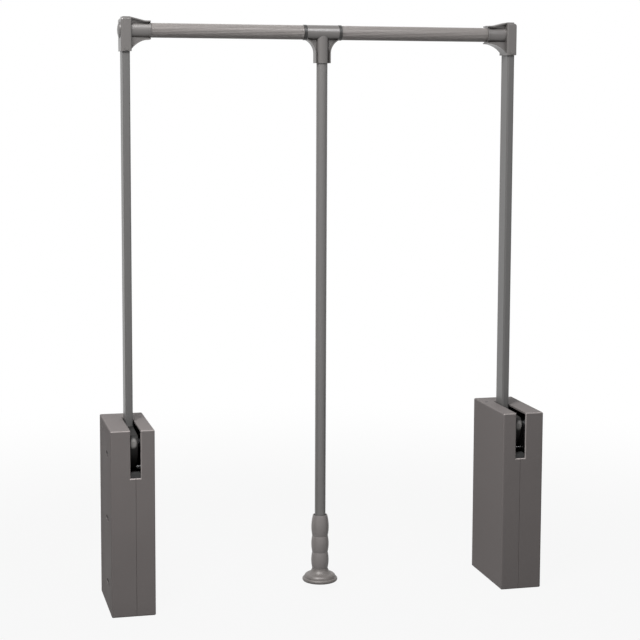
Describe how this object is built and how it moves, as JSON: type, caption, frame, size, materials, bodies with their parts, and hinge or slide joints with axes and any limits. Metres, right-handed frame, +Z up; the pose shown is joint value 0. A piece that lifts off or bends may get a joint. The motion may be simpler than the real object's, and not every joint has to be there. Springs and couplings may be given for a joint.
{
  "type": "pull down closet rod",
  "caption": "Wardrobe lift: telescopic hanging rod on spring-loaded swinging arms in side housings, with a pull handle.",
  "frame": {"origin": "on the floor plane under the housings, midway between them in width and depth", "axes": "+X along the hanging rod to the right seen from the front, +Y towards the back of the wardrobe, +Z up"},
  "size_m": [0.66, 0.136, 0.865],
  "materials": {
    "housing_plastic": "fine satin grain, warm grey metallic paint",
    "channel_steel": "zinc plated sheet steel",
    "pin_steel": "bright turned steel",
    "screw_steel": "dark zinc plated",
    "foot_steel": "dark grey coated steel",
    "arm_metal": "satin grey lacquered steel tube",
    "rod_metal": "satin bronze grey anodised, fluted",
    "inner_metal": "smooth satin anodised",
    "handle_metal": "satin grey lacquered steel tube",
    "moulding": "satin metallic grey moulded plastic",
    "grip_plastic": "soft satin grey plastic",
    "foot_plastic": "satin metallic grey, polished rim",
    "collar_plastic": "black nylon",
    "nylon": "natural nylon",
    "damper_metal": "satin drawn aluminium",
    "rubber": "black rubber"
  },
  "bodies": {
    "left_housing": {"left_outer_shell": "housing_plastic", "left_inner_cover": "housing_plastic", "left_cover_screws": "screw_steel", "left_base_channel": "channel_steel", "left_pivot_axle": "pin_steel", "left_axle_spacers": "pin_steel", "left_spring": "pin_steel", "left_spring_seat": "collar_plastic", "left_damper_body": "damper_metal", "left_buffer_bar": "pin_steel", "left_top_buffer": "rubber", "left_low_buffer": "rubber"},
    "left_arm": {"left_pivot_bush": "nylon", "left_arm_foot": "foot_steel", "left_arm_tube": "arm_metal", "left_arm_rivets": "pin_steel", "left_elbow": "moulding", "left_elbow_screw": "screw_steel", "left_elbow_cap": "moulding", "left_rod_plug": "collar_plastic", "left_rod_tube": "rod_metal", "left_guide_bush": "nylon"},
    "left_slider": {"left_slider": "nylon", "left_roller_pin": "pin_steel", "left_damper_rod": "pin_steel"},
    "left_roller": {"left_follower_roller": "nylon"},
    "right_housing": {"right_outer_shell": "housing_plastic", "right_inner_cover": "housing_plastic", "right_cover_screws": "screw_steel", "right_base_channel": "channel_steel", "right_pivot_axle": "pin_steel", "right_axle_spacers": "pin_steel", "right_spring": "pin_steel", "right_spring_seat": "collar_plastic", "right_damper_body": "damper_metal", "right_buffer_bar": "pin_steel", "right_top_buffer": "rubber", "right_low_buffer": "rubber"},
    "right_arm": {"right_pivot_bush": "nylon", "right_arm_foot": "foot_steel", "right_arm_tube": "arm_metal", "right_arm_rivets": "pin_steel", "right_elbow": "moulding", "right_elbow_screw": "screw_steel", "right_elbow_cap": "moulding", "right_rod_plug": "collar_plastic", "right_rod_tube": "rod_metal", "right_guide_bush": "nylon"},
    "right_slider": {"right_slider": "nylon", "right_roller_pin": "pin_steel", "right_damper_rod": "pin_steel"},
    "right_roller": {"right_follower_roller": "nylon"},
    "rod_middle": {"inner_tube": "inner_metal", "inner_tube_glides": "nylon", "stop_collars": "collar_plastic"},
    "handle": {"tee": "moulding", "tee_screw": "screw_steel", "handle_tube": "handle_metal", "grip": "grip_plastic", "grip_foot": "foot_plastic"}
  },
  "joints": [
    {"name": "arm_swing", "type": "hinge", "parent": "left_housing", "child": "left_arm", "pos_m": [-0.294, 0.014, 0.24], "axis": [1, 0, 0], "range_deg": [0, 100], "stiffness_Nm_per_rad": 8, "springref_deg": -34.38},
    {"name": "left_telescope", "type": "slide", "parent": "left_arm", "child": "rod_middle", "axis": [1, 0, 0], "range_m": [0, 0.1145]},
    {"name": "right_telescope", "type": "slide", "parent": "rod_middle", "child": "right_arm", "axis": [1, 0, 0], "range_m": [0, 0.1145]},
    {"name": "right_pivot", "type": "hinge", "parent": "right_arm", "child": "right_housing", "pos_m": [0.294, 0.014, 0.24], "axis": [1, 0, 0], "range_deg": [-100, 0]},
    {"name": "handle_swing", "type": "hinge", "parent": "rod_middle", "child": "handle", "pos_m": [0, 0.014, 0.846], "axis": [1, 0, 0], "range_deg": [-100, 25]},
    {"name": "left_slider_travel", "type": "slide", "parent": "left_housing", "child": "left_slider", "axis": [0, 0, -1], "range_m": [0, 0.0436], "deforming": ["left_spring"]},
    {"name": "right_slider_travel", "type": "slide", "parent": "right_housing", "child": "right_slider", "axis": [0, 0, -1], "range_m": [0, 0.0436], "deforming": ["right_spring"]},
    {"name": "left_roller_spin", "type": "hinge", "parent": "left_slider", "child": "left_roller", "pos_m": [-0.294, 0.014, 0.202], "axis": [1, 0, 0], "continuous": true},
    {"name": "right_roller_spin", "type": "hinge", "parent": "right_slider", "child": "right_roller", "pos_m": [0.294, 0.014, 0.202], "axis": [1, 0, 0], "continuous": true}
  ],
  "couplings": [
    {"joint": "right_pivot", "follows": "arm_swing", "ratio": -1},
    {"joint": "left_slider_travel", "follows": "arm_swing", "m_per_rad": 0.024981},
    {"joint": "right_slider_travel", "follows": "arm_swing", "m_per_rad": 0.024981}
  ]
}
